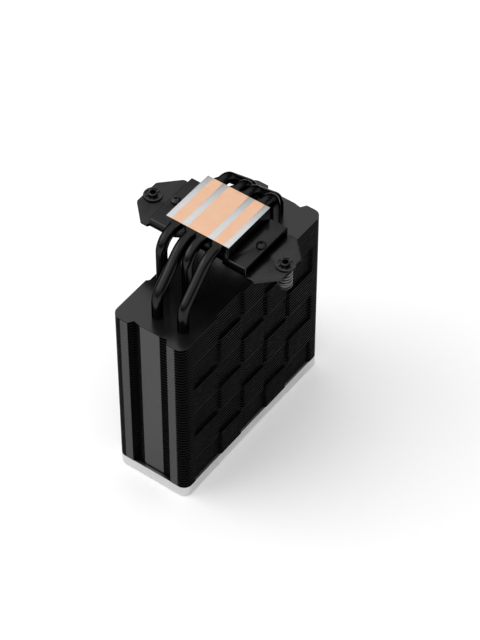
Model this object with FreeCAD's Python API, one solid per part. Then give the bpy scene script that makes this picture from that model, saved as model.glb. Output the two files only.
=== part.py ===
import FreeCAD, Part
import os, math
os.makedirs("parts", exist_ok=True)

V = FreeCAD.Vector

# CPU tower cooler, standing upside down on its top cover, base turned up.
# Millimetres. +Z up, z = 0 on the cover's resting face, origin on the tower's axis.
# +X runs along the long side of the fins, +Y along the airflow and the crossbar.

# ---------------- driving dimensions ----------------
HEIGHT = 152.0          # resting face to contact face
FIN_L = 120.0           # fin length, X
FIN_W = 45.0            # fin width, Y
FIN_R = 5.0             # fin corner radius
FIN_T = 0.4             # fin sheet
FIN_PITCH = 2.025       # fin spacing
FIN_Z0 = 7.1            # underside of the first fin
FINS_PER_ROW = 9
ROWS = 6
TILE_X = (-50.0, -30.0, -10.0, 10.0, 30.0, 50.0)   # column edges of the stepped side
TILE_DEEP = 1.5         # depth of a recessed tile
TILE_SLANT = 1.5        # run of the slanted step on each side of a flush tile
END_STRIP = (12.3, 16.85)   # |y| of the narrow closed strips on the short sides
VALLEY = (10.3, 56.9)   # |y|, |x| of the fan clip valley's bottom
END_MID = (6.1, 57.7)   # |y|, |x| of the wide closed strip
TAB_T = 0.4
TAB_GAP = 0.22         # left open above each narrow tab

PIPE_R = 3.0
PIPE_VOID_R = 2.4
WICK_R = 2.37
WICK_IN_R = 1.7
PIPE_Y = (12.9, 3.1, -3.1, -12.9)
PIPE_SHORT_X = 30.0     # short leg
PIPE_LONG_X = 47.0      # long leg
PIPE_Z = 149.0          # pipe axis in the base
PIPE_END_Z = 3.2
PIPE_SHORT_R = 9.0
BEND_X = 21.0           # |x| where a long leg leaves the base run
SLOPE = {-1: (26.3, 45.0), 1: (25.05, 47.6)}  # |x| where base run and slope meet, slope angle
PIPE_FLAT_HW = 3.05     # half width of the flattened, ground section
PIPE_HOLE_R = 3.03

BLOCK_X = 17.4          # contact block, half
BLOCK_Y = 19.3
EAR_X = 17.85
EAR_Y0 = 15.4
EAR_Y1 = 30.0
EAR_Z = 144.0
MID_X = 16.2
BAR_Z0 = 137.2          # crossbar plate
BAR_Z1 = 139.2
WING_X = 18.2
WING_Y = 45.5           # wing tip
WING_TIP_X = 8.0        # half width at the tip
WING_SHOULDER_Y = 35.3
NUT_Y = 41.2            # spring nut axis
SCREW_Y = 26.6          # crossbar screw axis

NUT_R = 2.45
NUT_BORE_R = 1.65       # M4 thread, minor radius
NUT_TOP = 141.4
NUT_HEAD_Z = (124.6, 125.9)
NUT_HEAD_R = 3.85
WING_HOLE_R = 2.53
GROOVE_R = 2.0
GROOVE_Z = (139.48, 140.01)
CLIP_Z = (139.52, 139.97)
CLIP_R = 5.0
CLIP_IN_R = 4.1
CLIP_PRONG = 1.3        # width of each of the five prongs
CLIP_TURN = 207.0       # direction of one prong, degrees from +X
WASHER_Z = (139.22, 139.47)
WASHER_R = 5.2
SPRING_R = 3.4          # mean coil radius
WIRE_R = 0.42
SPRING_PITCH = 2.05

COVER_T = 2.0
COVER_END_T = 1.9       # wall on the short sides, behind which the fins are recessed
COVER_TOP = 7.1

# ---------------- helpers ----------------
def box(x0, x1, y0, y1, z0, z1):
    return Part.makeBox(x1 - x0, y1 - y0, z1 - z0, V(x0, y0, z0))

def cyl(x, y, z0, z1, r):
    return Part.makeCylinder(r, z1 - z0, V(x, y, z0))

def save(name, shape):
    solids = shape.Solids
    out = solids[0] if len(solids) == 1 else Part.makeCompound(solids)
    for s in solids:
        if not s.isValid():
            print("INVALID", name)
    out.exportStep("parts/" + name + ".step")
    print("%-18s %3d solids  %10.2f mm3" % (name, len(solids), sum(s.Volume for s in solids)))

def wire_from(items):
    """items: points, or ('arc', mid, end) continuing from the last point."""
    edges, last = [], items[0]
    for it in items[1:]:
        if isinstance(it, tuple) and it[0] == "arc":
            edges.append(Part.Arc(last, it[1], it[2]).toShape())
            last = it[2]
        else:
            if (it - last).Length > 1e-6:
                edges.append(Part.makeLine(last, it))
                last = it
    return Part.Wire(edges)

def side_points(flush, z, sign=-1):
    """Points along the -Y side from -X to +X, stepping in at each recessed tile."""
    yf = FIN_W / 2
    yr = yf - TILE_DEEP
    pts, cur = [], yf
    for i, x in enumerate(TILE_X):
        nxt = yf
        if i < 5 and (i + 1) not in flush:
            nxt = yr
        # the slope lies on the flush side of the column's edge
        if nxt > cur:
            pts += [V(x, sign * cur, z), V(x + TILE_SLANT, sign * nxt, z)]
        elif nxt < cur:
            pts += [V(x - TILE_SLANT, sign * cur, z), V(x, sign * nxt, z)]
        cur = nxt
    return pts

def fin_wire(flush, z):
    hx, hy, r = FIN_L / 2, FIN_W / 2, FIN_R
    k = r * math.sin(math.pi / 4)
    items = [V(-hx + r, -hy, z)]
    items += side_points(flush, z)
    items.append(V(hx - r, -hy, z))
    items.append(("arc", V(hx - r + k, -hy + r - k, z), V(hx, -hy + r, z)))
    items += [V(hx, -END_STRIP[0], z), V(VALLEY[1], -VALLEY[0], z), V(END_MID[1], -END_MID[0], z),
              V(END_MID[1], END_MID[0], z), V(VALLEY[1], VALLEY[0], z), V(hx, END_STRIP[0], z)]
    items.append(V(hx, hy - r, z))
    items.append(("arc", V(hx - r + k, hy - r + k, z), V(hx - r, hy, z)))
    items += [V(p.x, p.y, p.z) for p in reversed(side_points(flush, z, sign=1))]
    items.append(V(-hx + r, hy, z))
    items.append(("arc", V(-hx + r - k, hy - r + k, z), V(-hx, hy - r, z)))
    items += [V(-hx, END_STRIP[0], z), V(-VALLEY[1], VALLEY[0], z), V(-END_MID[1], END_MID[0], z),
              V(-END_MID[1], -END_MID[0], z), V(-VALLEY[1], -VALLEY[0], z), V(-hx, -END_STRIP[0], z)]
    items.append(V(-hx, -hy + r, z))
    items.append(("arc", V(-hx + r - k, -hy + r - k, z), items[0]))
    return wire_from(items)

def leg_x(y, sx):
    """Signed x of the pipe leg on side sx (+1 or -1). Legs alternate short and long."""
    i = PIPE_Y.index(y)
    long_plus = (i % 2 == 0)
    return sx * (PIPE_LONG_X if (sx > 0) == long_plus else PIPE_SHORT_X)

LEGS = [(leg_x(y, s), y) for y in PIPE_Y for s in (-1, 1)]

def plate(flush, z, t):
    f = Part.Face(fin_wire(flush, z)).extrude(V(0, 0, t))
    return f.cut(Part.makeCompound([cyl(x, y, z - 1, z + t + 1, PIPE_HOLE_R) for x, y in LEGS]))

def fin(flush):
    """One fin at z = 0 with the folded tabs that space it from the next."""
    s = plate(flush, 0.0, FIN_T)
    top = FIN_PITCH - 0.03
    tabs = []
    for sx in (-1, 1):
        a, b = sorted((sx * (FIN_L / 2 - TAB_T), sx * FIN_L / 2))
        for sy in (-1, 1):
            c, d = sorted((sy * END_STRIP[0], sy * END_STRIP[1]))
            tabs.append(box(a, b, c, d, 0, FIN_PITCH - TAB_GAP))
        a, b = sorted((sx * (END_MID[1] - TAB_T), sx * END_MID[1]))
        tabs.append(box(a, b, -END_MID[0], END_MID[0], 0, top))
    for t in tabs:
        s = s.fuse(t)
    return s.removeSplitter().Solids[0]

# ---------------- fin stack ----------------
FLUSH_ODD, FLUSH_EVEN = (1, 3, 5), (2, 4)
fins = {1: fin(FLUSH_ODD), 0: fin(FLUSH_EVEN)}
last_fin = ROWS * FINS_PER_ROW - 1
for row in range(1, ROWS + 1):
    kind = row % 2
    first = (ROWS - row) * FINS_PER_ROW
    group = []
    for k in range(first, first + FINS_PER_ROW):
        if k == last_fin:
            continue
        s = fins[kind].copy()
        s.translate(V(0, 0, FIN_Z0 + k * FIN_PITCH))
        group.append(s)
    save("fins_row_%d" % row, Part.makeCompound(group))

END_Z = FIN_Z0 + last_fin * FIN_PITCH
save("end_plate", plate(FLUSH_ODD, END_Z, FIN_T))
print("stack top", round(END_Z + FIN_T, 3))

# ---------------- top cover ----------------
def rrect_solid(hx, hy, r, z0, z1):
    s = box(-hx, hx, -hy, hy, z0, z1)
    es = [e for e in s.Edges if abs(e.Vertexes[0].X - e.Vertexes[-1].X) < 1e-6
          and abs(e.Vertexes[0].Y - e.Vertexes[-1].Y) < 1e-6]
    return s.makeFillet(r, es)

cover = rrect_solid(FIN_L / 2, FIN_W / 2, FIN_R, 0, COVER_TOP)
low = [e for e in cover.Edges if max(v.Z for v in e.Vertexes) < 1e-6]
cover = cover.makeFillet(0.9, low)
# the long sides are cut back under their middle, so the cover stands on its two ends
for sy in (-1, 1):
    pts = [V(-31, sy * (FIN_W / 2 + 1), -1), V(-31, sy * (FIN_W / 2 + 1), 1.6), V(-31, sy * (FIN_W / 2 - 2.6), 1.6),
           V(-31, sy * (FIN_W / 2 - 4.2), 0), V(-31, sy * (FIN_W / 2 - 4.2), -1)]
    cut = Part.Face(Part.makePolygon(pts + [pts[0]])).extrude(V(62, 0, 0))
    cover = cover.cut(cut)
hollow = rrect_solid(FIN_L / 2 - 4.9, FIN_W / 2 - COVER_T, 3.0, 1.8, COVER_TOP + 1)
# inner floor is raised over the cut-back edges
for sy in (-1, 1):
    a, b = sorted((sy * (FIN_W / 2 - 6.4), sy * FIN_W / 2))
    hollow = hollow.cut(box(-33, 33, a, b, 1.0, 3.2))
# the pocket behind each short wall, which comes nearer to the outside beside the fan clip valleys
for sx in (-1, 1):
    for c, d, wall in ((-10.0, 10.0, COVER_END_T), (10.0, 12.2, 0.7), (-12.2, -10.0, 0.7)):
        a, b = sorted((sx * (FIN_L / 2 - 6.0), sx * (FIN_L / 2 - wall)))
        hollow = hollow.fuse(box(a, b, c, d, 2.6, COVER_TOP + 1))
cover = cover.cut(hollow)
for x, y in LEGS:
    cover = cover.fuse(cyl(x, y, 1.4, 6.6, 4.6))
for x, y in LEGS:
    cover = cover.cut(cyl(x, y, 3.1, 8.0, PIPE_HOLE_R))
cover = cover.removeSplitter()
save("top_cover", cover)

# ---------------- heat pipes ----------------
C45 = math.cos(math.pi / 4)

def leg_items(y, sx, x_start, z_end):
    """Path of one leg, from the base outward and down, as wire items."""
    xl = abs(leg_x(y, sx))
    P = lambda x, z: V(sx * x, y, z)
    items = [P(x_start, PIPE_Z)]
    if xl == PIPE_SHORT_X:
        r = PIPE_SHORT_R
        xc, zc = xl - r, PIPE_Z - r
        items += [P(xc, PIPE_Z), ("arc", P(xc + r * C45, zc + r * C45), P(xl, zc))]
    else:
        vx, deg = SLOPE[1 if sx > 0 else -1]
        g = math.radians(deg)
        t1 = vx - BEND_X
        r1 = t1 / math.tan(g / 2)
        a0 = P(BEND_X, PIPE_Z)
        a1 = P(vx + t1 * math.cos(g), PIPE_Z - t1 * math.sin(g))
        m1 = P(BEND_X + r1 * math.sin(g / 2), PIPE_Z - r1 * (1 - math.cos(g / 2)))
        r2 = 12.0
        h = math.pi / 2 - g
        t2 = r2 * math.tan(h / 2)
        vz = PIPE_Z - (xl - vx) * math.tan(g)
        b0 = P(xl - t2 * math.cos(g), vz + t2 * math.sin(g))
        b1 = P(xl, vz - t2)
        m2 = P(xl - r2 * (1 - math.cos(h / 2)), vz - t2 + r2 * math.sin(h / 2))
        items += [a0, ("arc", m1, a1), b0, ("arc", m2, b1)]
    items.append(P(xl, z_end))
    return items

def sweep(items, r):
    path = wire_from(items)
    p0 = items[0]
    d = path.Edges[0].tangentAt(path.Edges[0].FirstParameter)
    prof = Part.Face(Part.Wire(Part.makeCircle(r, p0, d)))
    s = path.makePipe(prof)
    if not s.Solids:
        s = Part.makeSolid(s)
    return s.Solids[0]

def full_items(y, z_end):
    """One path from the end of the -X leg to the end of the +X leg."""
    a = leg_items(y, -1, 0.0, z_end)
    pts = [a[0]]
    segs = []
    last = a[0]
    for it in a[1:]:
        if isinstance(it, tuple):
            segs.append(("arc", last, it[1], it[2]))
            last = it[2]
        else:
            segs.append(("line", last, it))
            last = it
    out = [last]
    for s in reversed(segs):
        if s[0] == "line":
            out.append(s[1])
        else:
            out.append(("arc", s[2], s[1]))
    b = leg_items(y, 1, 0.0, z_end)
    # both sides share the straight run through the base
    out = out[:-1] if not isinstance(out[-1], tuple) else out
    return out + b[1:]

def d_wire(x, y, hw):
    z0 = PIPE_Z + 0.05
    p = [V(x, y + hw, z0), V(x, y + hw, HEIGHT), V(x, y - hw, HEIGHT), V(x, y - hw, z0)]
    return Part.Wire([Part.makeLine(p[0], p[1]), Part.makeLine(p[1], p[2]), Part.makeLine(p[2], p[3]),
                      Part.Arc(p[3], V(x, y, z0 - hw), p[0]).toShape()])

def c_wire(x, y, r):
    q = lambda deg: V(x, y + r * math.cos(math.radians(deg)), PIPE_Z + r * math.sin(math.radians(deg)))
    return Part.Wire([Part.Arc(q(0), q(22), q(45)).toShape(), Part.Arc(q(45), q(90), q(135)).toShape(),
                      Part.Arc(q(135), q(158), q(180)).toShape(), Part.Arc(q(180), q(270), q(360)).toShape()])

for n, y in enumerate(PIPE_Y, 1):
    outer = Part.Face(d_wire(-BLOCK_X, y, PIPE_FLAT_HW)).extrude(V(2 * BLOCK_X, 0, 0))
    for sx in (-1, 1):
        x0, x1 = sx * BLOCK_X, sx * 20.8
        outer = outer.fuse(Part.makeLoft([d_wire(x0, y, PIPE_FLAT_HW), c_wire(x1, y, PIPE_R)], True, True))
        outer = outer.fuse(sweep(leg_items(y, sx, 20.8, PIPE_END_Z), PIPE_R))
    void = sweep(full_items(y, PIPE_END_Z + 1.5), PIPE_VOID_R)
    pipe = outer.cut(void)
    save("heat_pipe_%d" % n, pipe)
    wick = sweep(full_items(y, PIPE_END_Z + 1.55), WICK_R).cut(sweep(full_items(y, PIPE_END_Z + 1.2), WICK_IN_R))
    save("pipe_wick_%d" % n, wick)

# ---------------- base block ----------------
block = box(-BLOCK_X, BLOCK_X, -BLOCK_Y, BLOCK_Y, EAR_Z, HEIGHT)
for sy in (-1, 1):
    a, b = sorted((sy * EAR_Y0, sy * EAR_Y1))
    ear = box(-EAR_X, EAR_X, a, b, BAR_Z1, EAR_Z)
    es = [e for e in ear.Edges if abs(e.Vertexes[0].Z - e.Vertexes[-1].Z) > 1]
    ear = ear.makeFillet(0.5, es)
    es = [e for e in ear.Edges if min(v.Z for v in e.Vertexes) > EAR_Z - 1e-6]
    ear = ear.makeChamfer(0.4, es)
    block = block.fuse(ear)
block = block.fuse(box(-MID_X, MID_X, -EAR_Y0 - 2, EAR_Y0 + 2, BAR_Z1, EAR_Z))
for y in PIPE_Y:
    z0, hw = PIPE_Z + 0.05, PIPE_FLAT_HW + 0.02
    block = block.cut(box(-20, 20, y - hw, y + hw, z0, HEIGHT + 1))
    block = block.cut(Part.makeCylinder(hw, 40, V(-20, y, z0), V(1, 0, 0)))
block = block.cut(box(-20, 20, -0.3, 0.3, PIPE_Z - 1.2, HEIGHT + 1))
for sy in (-1, 1):
    block = block.cut(cyl(0, sy * SCREW_Y, BAR_Z1 - 1, EAR_Z + 1, 1.6))
block = block.removeSplitter()
save("base_block", block)

# ---------------- crossbar ----------------
def bar_outline(z):
    half = [(14.5, 13.0), (16.9, 17.0), (16.9, 30.4), (WING_X, 31.2), (WING_X, WING_SHOULDER_Y), (WING_TIP_X, WING_Y),
            (-WING_TIP_X, WING_Y), (-WING_X, WING_SHOULDER_Y), (-WING_X, 31.2), (-16.9, 30.4), (-16.9, 17.0), (-14.5, 13.0)]
    pts = half + [(-x, -y) for x, y in half]
    ps = [V(x, y, z) for x, y in pts]
    return Part.makePolygon(ps + [ps[0]])

bar = Part.Face(bar_outline(BAR_Z0)).extrude(V(0, 0, BAR_Z1 - BAR_Z0))
es = []
for e in bar.Edges:
    a, b = e.Vertexes[0], e.Vertexes[-1]
    if abs(a.Z - b.Z) > 1 and abs(a.Y) > 34:
        es.append(e)
bar = bar.makeFillet(2.2, es)
rim = [e for e in bar.Edges if min(v.Z for v in e.Vertexes) > BAR_Z1 - 1e-6 and max(abs(v.Y) for v in e.Vertexes) > 31.3]
bar = bar.makeFillet(0.35, rim)
for sy in (-1, 1):
    bar = bar.cut(cyl(0, sy * NUT_Y, BAR_Z0 - 1, BAR_Z1 + 1, WING_HOLE_R))
    bar = bar.cut(cyl(0, sy * SCREW_Y, BAR_Z0 - 1, BAR_Z1 + 1, 1.52))
save("crossbar", bar)

# ---------------- crossbar screws ----------------
screws = []
for sy in (-1, 1):
    y = sy * SCREW_Y
    head = cyl(0, y, EAR_Z, EAR_Z + 1.8, 2.65)
    dome = Part.makeSphere(3.3, V(0, y, EAR_Z + 1.8 - 3.3))
    head = head.common(dome.fuse(cyl(0, y, EAR_Z - 1, EAR_Z + 0.5, 2.65)))
    hexpts = [V(1.0 * math.cos(math.radians(60 * i)), y + 1.0 * math.sin(math.radians(60 * i)), EAR_Z + 0.7) for i in range(7)]
    head = head.cut(Part.Face(Part.makePolygon(hexpts)).extrude(V(0, 0, 3)))
    screws.append(head.fuse(cyl(0, y, BAR_Z0, EAR_Z, 1.5)).removeSplitter())
save("crossbar_screws", Part.makeCompound(screws))

# ---------------- spring nuts, springs, washers, clips ----------------
def spring_nut(y):
    s = cyl(0, y, NUT_HEAD_Z[1], NUT_TOP, NUT_R)
    tip = [e for e in s.Edges if min(v.Z for v in e.Vertexes) > NUT_TOP - 1e-6]
    s = s.makeChamfer(0.35, tip)
    head = cyl(0, y, NUT_HEAD_Z[0], NUT_HEAD_Z[1], NUT_HEAD_R)
    low = [e for e in head.Edges if max(v.Z for v in e.Vertexes) < NUT_HEAD_Z[0] + 1e-6]
    head = head.makeFillet(0.7, low)
    s = s.fuse(head)
    ring = cyl(0, y, GROOVE_Z[0], GROOVE_Z[1], NUT_R + 1).cut(cyl(0, y, GROOVE_Z[0] - 1, GROOVE_Z[1] + 1, GROOVE_R))
    s = s.cut(ring)
    s = s.cut(cyl(0, y, NUT_TOP - 9.0, NUT_TOP + 1, NUT_BORE_R))
    # cross recess for the driver, in the outer end of the head
    z = NUT_HEAD_Z[0]
    s = s.cut(box(-2.3, 2.3, y - 0.55, y + 0.55, z - 1, z + 1.7))
    s = s.cut(box(-0.55, 0.55, y - 2.3, y + 2.3, z - 1, z + 1.7))
    return s.removeSplitter()

def washer(y):
    return cyl(0, y, WASHER_Z[0], WASHER_Z[1], WASHER_R).cut(cyl(0, y, WASHER_Z[0] - 1, WASHER_Z[1] + 1, WING_HOLE_R))

def star_clip(y):
    """Push-on retaining ring: a flat ring with five prongs that sit in the nut's groove."""
    z0, z1 = CLIP_Z
    s = cyl(0, 0, z0, z1, CLIP_R).cut(cyl(0, 0, z0 - 1, z1 + 1, CLIP_IN_R))
    for k in range(5):
        prong = box(GROOVE_R - 0.2, CLIP_IN_R + 0.4, -CLIP_PRONG / 2, CLIP_PRONG / 2, z0, z1)
        prong.rotate(V(0, 0, 0), V(0, 0, 1), 72 * k)
        s = s.fuse(prong)
    s = s.cut(cyl(0, 0, z0 - 1, z1 + 1, GROOVE_R + 0.03)).removeSplitter()
    s.rotate(V(0, 0, 0), V(0, 0, 1), CLIP_TURN)
    s.translate(V(0, y, 0))
    return s

def spring(y):
    """Plain helix of round wire, filling the room between the nut's head and the wing."""
    z0, z1 = NUT_HEAD_Z[1] + 0.03 + WIRE_R, BAR_Z0 - 0.03 - WIRE_R
    helix = Part.makeHelix(SPRING_PITCH, z1 - z0, SPRING_R)
    prof = Part.Wire(Part.makeCircle(WIRE_R, V(SPRING_R, 0, 0), V(0, 1, 0)))
    s = Part.Wire(helix).makePipeShell([prof], True, True)
    s.translate(V(0, y, z0))
    return s

for tag, sy in (("a", -1), ("b", 1)):
    y = sy * NUT_Y
    save("spring_nut_" + tag, spring_nut(y))
    save("nut_washer_" + tag, washer(y))
    save("nut_clip_" + tag, star_clip(y))
    save("nut_spring_" + tag, spring(y))
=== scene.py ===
import math
import bpy
import bmesh
from mathutils import Vector, Matrix


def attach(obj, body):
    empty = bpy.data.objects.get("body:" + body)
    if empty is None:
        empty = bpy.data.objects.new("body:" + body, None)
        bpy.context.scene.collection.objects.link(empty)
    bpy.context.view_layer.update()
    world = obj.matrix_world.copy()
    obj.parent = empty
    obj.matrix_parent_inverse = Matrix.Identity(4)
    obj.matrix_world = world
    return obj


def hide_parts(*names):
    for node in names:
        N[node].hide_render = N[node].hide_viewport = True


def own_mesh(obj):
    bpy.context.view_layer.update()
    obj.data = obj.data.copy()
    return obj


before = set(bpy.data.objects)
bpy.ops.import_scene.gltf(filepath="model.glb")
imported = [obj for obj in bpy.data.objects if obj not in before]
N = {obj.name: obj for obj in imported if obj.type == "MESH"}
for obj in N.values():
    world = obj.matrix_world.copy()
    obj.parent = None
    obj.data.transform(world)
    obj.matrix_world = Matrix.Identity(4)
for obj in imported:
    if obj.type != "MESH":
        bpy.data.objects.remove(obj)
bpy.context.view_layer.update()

scene = bpy.context.scene
MM = 0.001

# ------------------------------------------------------------------ materials
def mat(name):
    m = bpy.data.materials.new(name)
    m.use_nodes = True
    nt = m.node_tree
    nt.nodes.clear()
    out = nt.nodes.new("ShaderNodeOutputMaterial")
    b = nt.nodes.new("ShaderNodeBsdfPrincipled")
    nt.links.new(b.outputs["BSDF"], out.inputs["Surface"])
    return m, nt, b


class G:
    """Small helper for building node graphs."""

    def __init__(self, nt):
        self.nt = nt

    def node(self, kind, **props):
        n = self.nt.nodes.new(kind)
        for k, v in props.items():
            setattr(n, k, v)
        return n

    def link(self, a, b):
        self.nt.links.new(a, b)

    def coords(self):
        return self.node("ShaderNodeTexCoord").outputs["Object"]

    def scaled(self, vec, s):
        n = self.node("ShaderNodeVectorMath", operation="MULTIPLY")
        self.link(vec, n.inputs[0])
        n.inputs[1].default_value = s
        return n.outputs[0]

    def noise(self, vec, scale, detail=3.0, rough=0.55, out="Fac"):
        n = self.node("ShaderNodeTexNoise")
        self.link(vec, n.inputs["Vector"])
        n.inputs["Scale"].default_value = scale
        n.inputs["Detail"].default_value = detail
        n.inputs["Roughness"].default_value = rough
        return n.outputs[out]

    def ramp(self, fac, stops, interp="LINEAR"):
        n = self.node("ShaderNodeValToRGB")
        n.color_ramp.interpolation = interp
        el = n.color_ramp.elements
        while len(el) < len(stops):
            el.new(0.5)
        for e, (p, c) in zip(el, stops):
            e.position = p
            e.color = (c[0], c[1], c[2], 1.0) if isinstance(c, (tuple, list)) else (c, c, c, 1.0)
        self.link(fac, n.inputs["Fac"])
        return n.outputs["Color"]

    def maprange(self, v, a, b, c, d):
        n = self.node("ShaderNodeMapRange")
        self.link(v, n.inputs["Value"])
        for k, x in zip(("From Min", "From Max", "To Min", "To Max"), (a, b, c, d)):
            n.inputs[k].default_value = x
        return n.outputs["Result"]

    def math(self, op, a, b=None):
        n = self.node("ShaderNodeMath", operation=op)
        for i, x in enumerate((a, b)):
            if x is None:
                continue
            if isinstance(x, (int, float)):
                n.inputs[i].default_value = x
            else:
                self.link(x, n.inputs[i])
        return n.outputs[0]

    def mix(self, fac, a, b):
        n = self.node("ShaderNodeMix", data_type="RGBA")
        for sock, x in ((n.inputs["Factor"], fac), (n.inputs[6], a), (n.inputs[7], b)):
            if isinstance(x, (int, float)):
                sock.default_value = x
            elif isinstance(x, (tuple, list)):
                sock.default_value = (x[0], x[1], x[2], 1.0)
            else:
                self.link(x, sock)
        return n.outputs[2]

    def mixf(self, fac, a, b):
        n = self.node("ShaderNodeMix", data_type="FLOAT")
        for sock, x in ((n.inputs["Factor"], fac), (n.inputs[2], a), (n.inputs[3], b)):
            if isinstance(x, (int, float)):
                sock.default_value = x
            else:
                self.link(x, sock)
        return n.outputs[0]

    def bump(self, height, dist, strength=1.0, normal=None):
        n = self.node("ShaderNodeBump")
        self.link(height, n.inputs["Height"])
        n.inputs["Distance"].default_value = dist
        n.inputs["Strength"].default_value = strength
        if normal is not None:
            self.link(normal, n.inputs["Normal"])
        return n.outputs["Normal"]

    def xyz(self, vec):
        n = self.node("ShaderNodeSeparateXYZ")
        self.link(vec, n.inputs[0])
        return n.outputs["X"], n.outputs["Y"], n.outputs["Z"]

    def normal_z(self):
        g = self.node("ShaderNodeNewGeometry")
        return self.xyz(g.outputs["Normal"])[2]


def coated_black(name, base, rough=0.3, spread=0.08, grain=0.000004, scale=900.0, ior=1.5, tint=None):
    """Black coated sheet metal: satin, faint rolling streaks along X, a very fine texture and dust."""
    m, nt, b = mat(name)
    g = G(nt)
    co = g.coords()
    streak = g.noise(g.scaled(co, (40.0, 1500.0, 1500.0)), 1.0, 2.0)
    cloud = g.noise(co, 45.0, 4.0)
    fine = g.noise(co, scale * 4, 2.0)
    r = g.maprange(cloud, 0.3, 0.7, rough - spread / 2, rough + spread / 2)
    r = g.math("ADD", r, g.maprange(streak, 0.3, 0.7, -0.02, 0.02))
    nt.links.new(r, b.inputs["Roughness"])
    dust = g.maprange(g.noise(co, 2600.0, 1.0, 0.4), 0.69, 0.76, 0.0, 1.0)
    c = g.mix(g.maprange(cloud, 0.25, 0.75, 0.0, 1.0), tuple(x * 0.8 for x in base), tuple(x * 1.2 for x in base))
    c = g.mix(g.math("MULTIPLY", dust, 0.2), c, tuple(x * 3.0 for x in base))
    nt.links.new(c, b.inputs["Base Color"])
    nt.links.new(g.bump(g.mixf(0.5, fine, streak), grain), b.inputs["Normal"])
    b.inputs["IOR"].default_value = ior
    if tint is not None:
        # dark conversion coating on metal: little change of tone from facing to grazing
        b.inputs["Metallic"].default_value = 1.0
        b.inputs["Specular Tint"].default_value = (tint, tint, tint, 1.0)
    return m


def satin_cover():
    """Bead-blasted, anodised silver aluminium."""
    m, nt, b = mat("satin_silver")
    g = G(nt)
    co = g.coords()
    grain = g.noise(co, 5200.0, 2.0, 0.6)
    cloud = g.noise(co, 60.0, 3.0)
    c = g.mix(g.maprange(grain, 0.3, 0.7, 0.0, 1.0), (0.59, 0.59, 0.595), (0.69, 0.69, 0.695))
    c = g.mix(g.maprange(cloud, 0.35, 0.75, 0.0, 0.25), c, (0.54, 0.54, 0.545))
    nt.links.new(c, b.inputs["Base Color"])
    b.inputs["Metallic"].default_value = 1.0
    nt.links.new(g.maprange(cloud, 0.3, 0.7, 0.28, 0.36), b.inputs["Roughness"])
    nt.links.new(g.bump(grain, 0.000010), b.inputs["Normal"])
    return m


def plated_pipe():
    """Glossy black nickel plating over copper tube, a little wavy where the tube was bent."""
    m, nt, b = mat("plated_pipe")
    g = G(nt)
    co = g.coords()
    wave = g.noise(g.scaled(co, (60.0, 400.0, 60.0)), 1.0, 2.0)
    cloud = g.noise(co, 110.0, 3.0)
    c = g.mix(g.maprange(wave, 0.3, 0.7, 0.0, 1.0), (0.021, 0.0212, 0.0217), (0.030, 0.0302, 0.0308))
    c = g.mix(g.maprange(cloud, 0.5, 0.8, 0.0, 0.5), c, (0.020, 0.0205, 0.0215))
    nt.links.new(c, b.inputs["Base Color"])
    b.inputs["Metallic"].default_value = 1.0
    b.inputs["Specular Tint"].default_value = (0.35, 0.35, 0.352, 1.0)
    nt.links.new(g.maprange(cloud, 0.3, 0.7, 0.16, 0.23), b.inputs["Roughness"])
    nt.links.new(g.bump(g.mixf(0.5, wave, g.noise(co, 2500.0, 2.0)), 0.000005), b.inputs["Normal"])
    return m


def milled(name, dark, light, stain, rough):
    """Bare metal cut flat: very fine cutter lines across the pipes, with faint stains."""
    m, nt, b = mat(name)
    g = G(nt)
    co = g.coords()
    mill = g.noise(g.scaled(co, (9000.0, 120.0, 10.0)), 1.0, 2.0)
    c = g.mix(g.maprange(mill, 0.3, 0.7, 0.0, 1.0), dark, light)
    c = g.mix(g.maprange(g.noise(co, 160.0, 2.0), 0.4, 0.8, 0.0, 0.35), c, stain)
    nt.links.new(c, b.inputs["Base Color"])
    b.inputs["Metallic"].default_value = 1.0
    nt.links.new(g.maprange(mill, 0.3, 0.7, rough - 0.04, rough + 0.05), b.inputs["Roughness"])
    nt.links.new(g.bump(mill, 0.000004), b.inputs["Normal"])
    return m


def metal(name, dark, light, rough, grain_scale=2500.0, bump=0.000004):
    m, nt, b = mat(name)
    g = G(nt)
    co = g.coords()
    cloud = g.noise(co, 240.0, 3.0)
    fine = g.noise(co, grain_scale, 2.0)
    nt.links.new(g.mix(g.maprange(g.mixf(0.5, cloud, fine), 0.35, 0.65, 0.0, 1.0), dark, light), b.inputs["Base Color"])
    b.inputs["Metallic"].default_value = 1.0
    nt.links.new(g.maprange(cloud, 0.3, 0.7, rough - 0.06, rough + 0.06), b.inputs["Roughness"])
    nt.links.new(g.bump(fine, bump), b.inputs["Normal"])
    return m


M_FIN = coated_black("fin_coating", (0.006, 0.006, 0.0063), rough=0.30, ior=1.445)
# sheet faces between the fins: a darker copy of the fin coating, painted shade in the gaps
M_FIN_FACE_SHADED = coated_black("fin_sheet_face_painted_shade", (0.0028, 0.0028, 0.003), rough=0.26, ior=1.35)
# cut edges: a darker, duller copy of the coating, partly the cut finish and partly painted shade
M_EDGE_DULL_AND_SHADED = coated_black("cut_edge_dull_and_painted_shade", (0.0015, 0.0015, 0.0016), rough=0.34, ior=1.172)
M_END = coated_black("end_plate_coating", (0.0045, 0.0045, 0.0047), rough=0.22, spread=0.05, ior=1.51)
M_BAR = coated_black("crossbar_coating", (0.042, 0.042, 0.043), rough=0.27, grain=0.000006, scale=700.0, tint=0.30)
M_BLOCK = coated_black("block_coating", (0.032, 0.032, 0.033), rough=0.22, grain=0.000004, scale=700.0, tint=0.30)
M_WASH = coated_black("washer_coating", (0.003, 0.003, 0.0031), rough=0.28, ior=1.42)
M_COVER = satin_cover()
M_PIPE = plated_pipe()
M_ALU = milled("milled_aluminium", (0.56, 0.565, 0.575), (0.68, 0.685, 0.69), (0.54, 0.54, 0.54), 0.30)
M_COPPER = milled("milled_copper", (0.79, 0.495, 0.33), (0.87, 0.565, 0.385), (0.80, 0.44, 0.27), 0.32)
M_SCREW = metal("screw_plating", (0.026, 0.026, 0.028), (0.045, 0.045, 0.047), 0.42)
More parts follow.
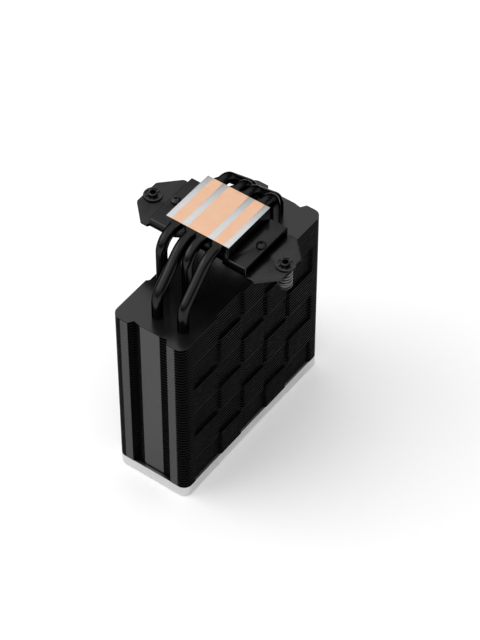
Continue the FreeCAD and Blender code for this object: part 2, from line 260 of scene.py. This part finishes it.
M_NUT = metal("nut_plating", (0.028, 0.028, 0.029), (0.048, 0.048, 0.050), 0.38)
M_CLIP = metal("clip_finish", (0.04, 0.04, 0.042), (0.065, 0.065, 0.068), 0.38)
M_SPRING = metal("spring_wire", (0.15, 0.15, 0.154), (0.24, 0.24, 0.245), 0.26)
M_WICK = metal("sintered_copper", (0.35, 0.16, 0.09), (0.62, 0.32, 0.2), 0.6, grain_scale=9000.0, bump=0.00005)


def assign(names, m):
    for n in names:
        o = N[n]
        o.data.materials.clear()
        o.data.materials.append(m)


assign(["end_plate"], M_END)
assign(["top_cover"], M_COVER)
assign(["heat_pipe_%d" % i for i in range(1, 5)], M_PIPE)
assign(["pipe_wick_%d" % i for i in range(1, 5)], M_WICK)
assign(["base_block"], M_BLOCK)
assign(["crossbar"], M_BAR)
assign(["crossbar_screws"], M_SCREW)
for t in "ab":
    assign(["spring_nut_" + t], M_NUT)
    assign(["nut_washer_" + t], M_WASH)
    assign(["nut_clip_" + t], M_CLIP)
    assign(["nut_spring_" + t], M_SPRING)

# end plate: its cut sides get the fins' darker edge material, partly a duller cut finish and partly painted shade
me = N["end_plate"].data
me.materials.append(M_EDGE_DULL_AND_SHADED)
for p in me.polygons:
    p.material_index = 0 if abs(p.normal.z) > 0.5 else 1

# fins: coated sheet; the coated folded tabs on the short sides keep the coating's own tone, the sheet faces get a
# darker copy of it as painted shade in the gaps, and the cut edges all round a duller, darker copy, partly their cut
# finish and partly painted shade
for r in range(1, 7):
    name = "fins_row_%d" % r
    assign([name], M_FIN)
    me = N[name].data
    me.materials.append(M_EDGE_DULL_AND_SHADED)
    me.materials.append(M_FIN_FACE_SHADED)
    for p in me.polygons:
        n, c = p.normal, p.center
        strip = abs(n.x) > 0.9 and (abs(c.y) < 0.0062 or 0.0122 < abs(c.y) < 0.0173)
        p.material_index = 0 if strip else (2 if abs(n.z) > 0.5 else 1)

# ------------------------------------------------------------------ mesh tools
def new_piece(name, bm, mats, body, node, sharp=32.0):
    me = bpy.data.meshes.new(name)
    bm.to_mesh(me)
    bm.free()
    for m in mats:
        me.materials.append(m)
    for p in me.polygons:
        p.use_smooth = True
    me.set_sharp_from_angle(angle=math.radians(sharp))
    o = bpy.data.objects.new(name, me)
    scene.collection.objects.link(o)
    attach(o, body)
    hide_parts(node)
    return o


def bevelled(node, width, angle=28.0, segments=2):
    """The CAD node's shape with its sharp edges broken by a small round."""
    bm = bmesh.new()
    bm.from_mesh(N[node].data)
    bmesh.ops.remove_doubles(bm, verts=bm.verts, dist=2e-6)
    bmesh.ops.dissolve_limit(bm, angle_limit=math.radians(0.4), verts=bm.verts, edges=bm.edges)
    es = [e for e in bm.edges if len(e.link_faces) == 2 and e.calc_face_angle(0.0) > math.radians(angle)]
    bmesh.ops.bevel(bm, geom=es, offset=width, offset_type="OFFSET", segments=segments, profile=0.5,
                    affect="EDGES", clamp_overlap=True)
    bmesh.ops.triangulate(bm, faces=[f for f in bm.faces if len(f.verts) > 4])
    bmesh.ops.recalc_face_normals(bm, faces=bm.faces)
    return bm


def rings_to_tube(bm, rings, cap=True):
    vs = [[bm.verts.new(p) for p in ring] for ring in rings]
    n = len(vs[0])
    for a, b in zip(vs, vs[1:]):
        for i in range(n):
            j = (i + 1) % n
            bm.faces.new((a[i], a[j], b[j], b[i]))
    if cap:
        bm.faces.new(list(reversed(vs[0])))
        bm.faces.new(vs[-1])
    bmesh.ops.recalc_face_normals(bm, faces=bm.faces)


# ------------------------------------------------------------------ heat pipes
PIPE_R, PIPE_Z, TOP_Z, HALF_W = 3.0, 149.0, 152.0, 3.1
FLAT_X, LOFT_X = 17.4, 20.8
SEG = 64


def leg_line(xl, sx):
    """Centre line of one leg in (|x|, z): points and tangents from |x| = LOFT_X down to the end, in mm."""
    out = []
    if xl == 30.0:
        r, xc, zc = 9.0, 21.0, 140.0
        for k in range(0, 25):
            t = math.pi / 2 * (1 - k / 24)
            out.append((xc + r * math.cos(t), zc + r * math.sin(t), math.sin(t), -math.cos(t)))
        z_from = zc
    else:
        vx, deg = (25.05, 47.6) if sx > 0 else (26.3, 45.0)
        g = math.radians(deg)
        t1 = vx - 21.0
        r1 = t1 / math.tan(g / 2)
        for k in range(0, 15):
            t = g * k / 14
            out.append((21.0 + r1 * math.sin(t), PIPE_Z - r1 * (1 - math.cos(t)), math.cos(t), -math.sin(t)))
        r2 = 12.0
        h = math.pi / 2 - g
        t2 = r2 * math.tan(h / 2)
        vz = PIPE_Z - (xl - vx) * math.tan(g)
        x1, z1 = vx + t1 * math.cos(g), PIPE_Z - t1 * math.sin(g)
        x2, z2 = xl - t2 * math.cos(g), vz + t2 * math.sin(g)
        for k in range(1, 12):
            f = k / 12
            out.append((x1 + (x2 - x1) * f, z1 + (z2 - z1) * f, math.cos(g), -math.sin(g)))
        for k in range(0, 15):
            t = h * (1 - k / 14)
            out.append((xl - r2 + r2 * math.cos(t), vz - t2 + r2 * math.sin(t), math.sin(t), -math.cos(t)))
        z_from = vz - t2
    for k in range(1, 21):
        out.append((xl, z_from + (3.2 - z_from) * k / 20, 0.0, -1.0))
    return out


def d_point(t):
    """Point of the flattened section at angle t (degrees): flat on top, half round below."""
    z0 = PIPE_Z + 0.05
    if t >= 180.0:
        a = math.radians(t)
        return HALF_W * math.cos(a), z0 + HALF_W * math.sin(a)
    if t <= 45.0:
        return HALF_W, z0 + (TOP_Z - z0) * t / 45.0
    if t < 135.0:
        return HALF_W * (1 - 2 * (t - 45.0) / 90.0), TOP_Z
    return -HALF_W, TOP_Z - (TOP_Z - z0) * (t - 135.0) / 45.0


def pipe_mesh(y, left, right):
    rings = []

    def leg(sx, xl):
        out = []
        for x, z, tx, tz in leg_line(xl, sx):
            ring = []
            for i in range(SEG):
                a = 2 * math.pi * i / SEG
                u, w = PIPE_R * math.cos(a), PIPE_R * math.sin(a)
                # w is along the section's own "up", turned with the path
                ring.append(Vector((sx * (x - tz * w), y + u, z + tx * w)) * MM)
            out.append(ring)
        return out

    def flat(x, f):
        """Section at x inside the base: f = 1 is flattened, 0 round."""
        ring = []
        for i in range(SEG):
            t = 360.0 * i / SEG
            du, dz = d_point(t)
            a = math.radians(t)
            cu, cz = PIPE_R * math.cos(a), PIPE_Z + PIPE_R * math.sin(a)
            ring.append(Vector((x, y + du * f + cu * (1 - f), dz * f + cz * (1 - f))) * MM)
        return ring

    rings += list(reversed(leg(-1, left)))
    for k in range(1, 9):
        rings.append(flat(-(LOFT_X - (LOFT_X - FLAT_X) * k / 8), k / 8))
    for k in range(1, 12):
        rings.append(flat(-FLAT_X + 2 * FLAT_X * k / 12, 1.0))
    for k in range(8, 0, -1):
        rings.append(flat(LOFT_X - (LOFT_X - FLAT_X) * k / 8, k / 8))
    rings += leg(1, right)
    bm = bmesh.new()
    rings_to_tube(bm, rings)
    for f in bm.faces:
        c = f.calc_center_median()
        f.material_index = 1 if (f.normal.z > 0.999 and abs(c.x) < FLAT_X * MM and c.z > 0.15199) else 0
    return bm


for n, y in enumerate((12.9, 3.1, -3.1, -12.9)):
    left, right = (30.0, 47.0) if n % 2 == 0 else (47.0, 30.0)
    new_piece("heat_pipe_%d_smooth" % (n + 1), pipe_mesh(y, left, right), [M_PIPE, M_COPPER], "cooler",
              "heat_pipe_%d" % (n + 1), sharp=40.0)

# ------------------------------------------------------------------ springs with closed ends
def spring_mesh(y):
    r, w = 3.4, 0.42
    z0, z1 = 125.93 + w, 137.17 - w
    closed, gap = 1.0, 0.88
    rise = (z1 - z0) - 2 * closed * gap
    turns = 4.25 + 2 * closed
    steps = int(turns * 40)
    rings = []
    for k in range(steps + 1):
        t = turns * k / steps
        # height along the wire: closed coil, open coils, closed coil, eased into each other
        if t < closed:
            z = gap * t
        elif t > turns - closed:
            z = gap * closed + rise + gap * (t - (turns - closed))
        else:
            f = (t - closed) / (turns - 2 * closed)
            z = gap * closed + rise * f
        a = 2 * math.pi * t
        c = Vector((r * math.cos(a), r * math.sin(a), z0 + z))
        rad = Vector((math.cos(a), math.sin(a), 0.0))
        ring = []
        for i in range(16):
            b = 2 * math.pi * i / 16
            p = c + rad * (w * math.cos(b)) + Vector((0, 0, w * math.sin(b)))
            ring.append(Vector((p.x, p.y + y, p.z)) * MM)
        rings.append(ring)
    bm = bmesh.new()
    rings_to_tube(bm, rings)
    return bm


for t, sy in (("a", -1), ("b", 1)):
    o = new_piece("nut_spring_%s_smooth" % t, spring_mesh(sy * 41.2), [M_SPRING], "cooler",
                  "nut_spring_" + t, sharp=60.0)
    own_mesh(o)

# ------------------------------------------------------------------ machined and pressed pieces with broken edges
bm = bevelled("base_block", 0.00008)
for f in bm.faces:
    c = f.calc_center_median()
    f.material_index = 1 if (f.normal.z > 0.6 and c.z > 0.15185) else 0
new_piece("base_block_edged", bm, [M_BLOCK, M_ALU], "cooler", "base_block")
new_piece("crossbar_edged", bevelled("crossbar", 0.00008), [M_BAR], "cooler", "crossbar")
new_piece("top_cover_edged", bevelled("top_cover", 0.00018), [M_COVER], "cooler", "top_cover")
new_piece("crossbar_screws_edged", bevelled("crossbar_screws", 0.00010), [M_SCREW], "cooler", "crossbar_screws")
for t in "ab":
    new_piece("nut_clip_%s_edged" % t, bevelled("nut_clip_" + t, 0.00008), [M_CLIP], "nut_" + t, "nut_clip_" + t)

# ------------------------------------------------------------------ stage
def plane(name, size, z):
    me = bpy.data.meshes.new(name)
    bm = bmesh.new()
    bmesh.ops.create_grid(bm, x_segments=8, y_segments=8, size=size)
    bm.to_mesh(me)
    bm.free()
    o = bpy.data.objects.new(name, me)
    scene.collection.objects.link(o)
    o.location.z = z
    return o


floor = plane("studio_floor", 6.0, 0.0)
m, nt, b = mat("floor_paper")
g = G(nt)
co = g.coords()
nt.links.new(g.mix(g.maprange(g.noise(co, 3.0, 2.0), 0.3, 0.7, 0.0, 1.0), (0.91, 0.91, 0.91), (0.93, 0.93, 0.93)), b.inputs["Base Color"])
b.inputs["Roughness"].default_value = 0.9
b.inputs["Specular IOR Level"].default_value = 0.1
b.inputs["Emission Color"].default_value = (1.0, 1.0, 1.0, 1.0)
b.inputs["Emission Strength"].default_value = 0.14
floor.data.materials.append(m)

# soft sky: bright above and at the back left, dim low down at the front right
world = bpy.data.worlds.new("studio")
scene.world = world
world.use_nodes = True
wt = world.node_tree
wt.nodes.clear()
wg = G(wt)
bg = wg.node("ShaderNodeBackground")
wo = wg.node("ShaderNodeOutputWorld")
wt.links.new(bg.outputs[0], wo.inputs[0])
direction = wg.node("ShaderNodeTexCoord").outputs["Generated"]
dot = wg.node("ShaderNodeVectorMath", operation="DOT_PRODUCT")
wt.links.new(direction, dot.inputs[0])
dot.inputs[1].default_value = Vector((-0.55, 0.75, 0.45)).normalized()


def smoothstep(v, lo, hi):
    n = wg.node("ShaderNodeMapRange", interpolation_type="SMOOTHSTEP")
    wt.links.new(v, n.inputs["Value"])
    n.inputs["From Min"].default_value = lo
    n.inputs["From Max"].default_value = hi
    return n.outputs["Result"]


side = smoothstep(dot.outputs["Value"], -0.6, 0.5)
upfac = smoothstep(wg.xyz(direction)[2], 0.08, 0.62)
over = smoothstep(wg.xyz(direction)[2], 0.45, 0.80)
level = wg.mixf(wg.math("MULTIPLY", upfac, wg.math("MAXIMUM", side, over)), 0.13, 1.13)
bg.inputs["Color"].default_value = (1.0, 1.0, 1.0, 1.0)
wt.links.new(level, bg.inputs["Strength"])


def area(name, loc, target, size, power):
    l = bpy.data.lights.new(name, "AREA")
    l.energy = power
    l.size = size
    o = bpy.data.objects.new(name, l)
    scene.collection.objects.link(o)
    o.location = loc
    d = Vector(target) - Vector(loc)
    o.rotation_mode = "QUATERNION"
    o.rotation_quaternion = d.to_track_quat("-Z", "Y")
    return o


area("key_back_left", (-0.66, 0.88, 0.83), (0, 0, 0.05), 1.2, 7.5)

# ------------------------------------------------------------------ camera
F_PX, ELEV, AZIM = 2679.675, math.radians(47.69), math.radians(-53.756)
CX, CY, DIST = 10.805, -2.154, 1389.192
back = Vector((math.sin(AZIM) * math.cos(ELEV), -math.cos(AZIM) * math.cos(ELEV), math.sin(ELEV)))
right = Vector((math.cos(AZIM), math.sin(AZIM), 0.0))
up = back.cross(right)
target = Vector((0, 0, 75.0)) + right * CX + up * CY
cd = bpy.data.cameras.new("photo_camera")
cd.sensor_fit = "AUTO"
cd.sensor_width = 36.0
cd.lens = F_PX * 36.0 / 640.0
cd.clip_start, cd.clip_end = 0.05, 20.0
cam = bpy.data.objects.new("photo_camera", cd)
scene.collection.objects.link(cam)
cam.matrix_world = Matrix.Translation((target + back * DIST) * MM) @ Matrix((right, up, back)).transposed().to_4x4()
scene.camera = cam

scene.view_settings.view_transform = "Standard"
